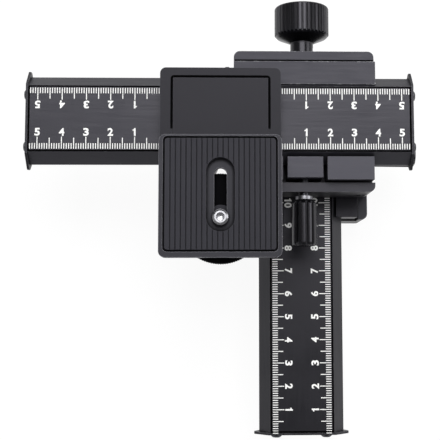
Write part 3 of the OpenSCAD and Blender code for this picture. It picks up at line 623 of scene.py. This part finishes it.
def buildCoverShadow():
    # painted shadow: a dull black line along the joint round the back and sides of the bracket's cover
    low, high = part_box("platform_bracket")
    middle = faceMiddle("upper")
    middle.x = (low.x + high.x) / 2 / mm
    shape = bmesh.new()
    centre = Vector((cover["half"] - cover["corner"], cover["back"] - cover["corner"]))
    rows = []
    for radius in (cover["corner"], cover["corner"] - cover["width"]):
        right = [(centre.x + radius, cover["front"])]
        for angle in range(0, 91, cover["cornerStep"]):
            way = math.radians(angle)
            right.append((centre.x + radius * math.cos(way), centre.y + radius * math.sin(way)))
        path = right + [(-x, y) for x, y in reversed(right)]
        rows.append([shape.verts.new((x, y, cover["top"])) for x, y in path])
    outer, inner = rows
    for step in range(len(outer) - 1):
        shape.faces.new((outer[step], outer[step + 1], inner[step + 1], inner[step]))
    lowered = bmesh.ops.extrude_face_region(shape, geom=shape.faces[:])
    bmesh.ops.translate(shape, vec=(0, 0, -cover["thick"]),
                        verts=[item for item in lowered["geom"] if isinstance(item, bmesh.types.BMVert)])
    bmesh.ops.transform(shape, matrix=Matrix.Translation(middle), verts=shape.verts)
    shadowPiece(shape, "cover_shadow", "upper_slide")


def digitMesh(digit):
    # one digit, its foot on y = 0 and its middle on x = 0, at the printed height and width
    if digit == "1":
        shape = bmesh.new()
        height = scale["numberHeight"]
        shape.faces.new([shape.verts.new((x * height, y * height, 0)) for x, y in scale["one"]])
        mesh = bpy.data.meshes.new("digit")
        shape.to_mesh(mesh)
        shape.free()
        return mesh
    curve = bpy.data.curves.new("digit", "FONT")
    curve.body = digit
    curve.align_x = "CENTER"
    curve.align_y = "BOTTOM_BASELINE"
    curve.offset = scale["bold"]
    curve.resolution_u = 6
    holder = bpy.data.objects.new("digit", curve)
    bpy.context.scene.collection.objects.link(holder)
    bpy.context.view_layer.update()
    mesh = bpy.data.meshes.new_from_object(holder.evaluated_get(bpy.context.evaluated_depsgraph_get()))
    bpy.data.objects.remove(holder)
    across = [v.co.x for v in mesh.vertices]
    up = [v.co.y for v in mesh.vertices]
    wide = scale["numberWidth"] / (max(across) - min(across))
    high = scale["numberHeight"] / (max(up) - min(up))
    mesh.transform(Matrix.Diagonal((wide, high, 1, 1))
                   @ Matrix.Translation((-(max(across) + min(across)) / 2, -min(up), 0)))
    return mesh


def printScale(stage):
    rail = rails[stage]
    onRail = Matrix.Scale(mm, 4) @ Matrix.Translation(faceMiddle(stage)) @ aboutZ(rail["turn"])
    digits = {digit: digitMesh(digit) for digit in "0123456789"}
    foot = scale["markEnd"] - scale["ten"] - scale["numberGap"]
    marks = bmesh.new()
    for zero, way, last in rail["runs"]:
        for step in range(0, last + 1):
            kind = "one mm" if step % 5 or not step else "five" if step % 10 else "ten"
            length = scale[kind]
            for side in (-1, 1):
                centre = Vector((zero + way * step, side * (scale["markEnd"] - length / 2), scale["ink"] / 2))
                shape = Matrix.Diagonal((scale["width"], length, scale["ink"], 1))
                bmesh.ops.create_cube(marks, size=1, matrix=Matrix.Translation(centre) @ shape)
                if step % 10 or not step:
                    continue
                turn = aboutZ(0 if side < 0 else 180)
                spot = Matrix.Translation((zero + way * step, side * foot, scale["ink"]))
                text = str(step // 10)
                for place, digit in enumerate(text):
                    along = (place - (len(text) - 1) / 2) * scale["digitStep"]
                    number = digits[digit].copy()
                    number.transform(spot @ turn @ Matrix.Translation((along, 0, 0)))
                    marks.from_mesh(number)
    bmesh.ops.transform(marks, matrix=onRail, verts=marks.verts)
    mesh = bpy.data.meshes.new(f"{stage}_scale")
    marks.to_mesh(mesh)
    marks.free()
    mesh.materials.append(finish["ink"])
    piece = bpy.data.objects.new(f"{stage}_scale", mesh)
    bpy.context.scene.collection.objects.link(piece)
    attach(piece, f"{stage}_slide")


for stage in stages:
    printScale(stage)
    paintGrooveShade(stage)
    buildJawShadow(stage)
buildCoverShadow()
print("scales printed, painted shade laid in grooves and joints")


# Floor, lamps and world

room = {
    "floorSize": 6.0,
    "floorGlow": 0.88,    # how much of the floor's white is its own, so that shadows stay faint
    "glowStrength": 1.04,
    "worldStrength": 0.25,
    "lamps": {
        # name: place in metres, size, power in watts, looks at
        "overhead": ((0.05, 0.62, 1.25), (1.1, 0.9), 16, (0, 0, 0)),
        "fromRight": ((1.3, 0.1, 0.7), (0.8, 0.8), 7, (0, 0, 0)),
        "fromBack": ((0, 1.5, 0.55), (1.2, 0.5), 4, (0, 0, 0)),
        "fromLeft": ((-1.3, -0.3, 0.8), (0.8, 0.8), 3, (0, 0, 0)),
        # a glint on the bare steel of the camera screw
        "onTheScrew": ((-0.05, 0.066, 1.25), (0.2, 0.2), 0.4, (-0.035, -0.032, 0.08)),
    },
}

floorMesh = bpy.data.meshes.new("floor")
floorShape = bmesh.new()
bmesh.ops.create_grid(floorShape, x_segments=1, y_segments=1, size=room["floorSize"] / 2)
floorShape.to_mesh(floorMesh)
floorShape.free()
floor = bpy.data.objects.new("floor", floorMesh)
bpy.context.scene.collection.objects.link(floor)
floorMaterial, floorTree = newMaterial("white paper sweep")
rays = addNode(floorTree, "ShaderNodeLightPath")
seen = rays.outputs["Is Camera Ray"]
for ray in ("Is Glossy Ray", "Is Transmission Ray"):
    seen = addNode(floorTree, "ShaderNodeMath", links={0: seen, 1: rays.outputs[ray]},
                   operation="MAXIMUM").outputs[0]
share = times(floorTree, seen, room["floorGlow"])
paper = addNode(floorTree, "ShaderNodeBsdfDiffuse", {"Color": linear("#f4f4f4")})
glow = addNode(floorTree, "ShaderNodeEmission", {"Color": (1, 1, 1, 1), "Strength": room["glowStrength"]})
sweep = addNode(floorTree, "ShaderNodeMixShader", links={0: share, 1: paper.outputs[0], 2: glow.outputs[0]})
closeMaterial(floorTree, sweep)
floor.data.materials.append(floorMaterial)

for name, (place, size, power, target) in room["lamps"].items():
    lamp = bpy.data.lights.new(name, "AREA")
    lamp.shape = "RECTANGLE"
    lamp.size, lamp.size_y = size
    lamp.energy = power
    holder = bpy.data.objects.new(name, lamp)
    holder.location = place
    holder.rotation_euler = (Vector(target) - Vector(place)).to_track_quat("-Z", "Y").to_euler()
    bpy.context.scene.collection.objects.link(holder)

world = bpy.data.worlds.new("studio")
bpy.context.scene.world = world
world.use_nodes = True
world.node_tree.nodes.clear()
sky = addNode(world.node_tree, "ShaderNodeBackground",
              {"Color": (1, 1, 1, 1), "Strength": room["worldStrength"]})
addNode(world.node_tree, "ShaderNodeOutputWorld", links={"Surface": sky.outputs[0]})
bpy.context.scene.view_settings.view_transform = "Standard"
print("floor and lamps set")
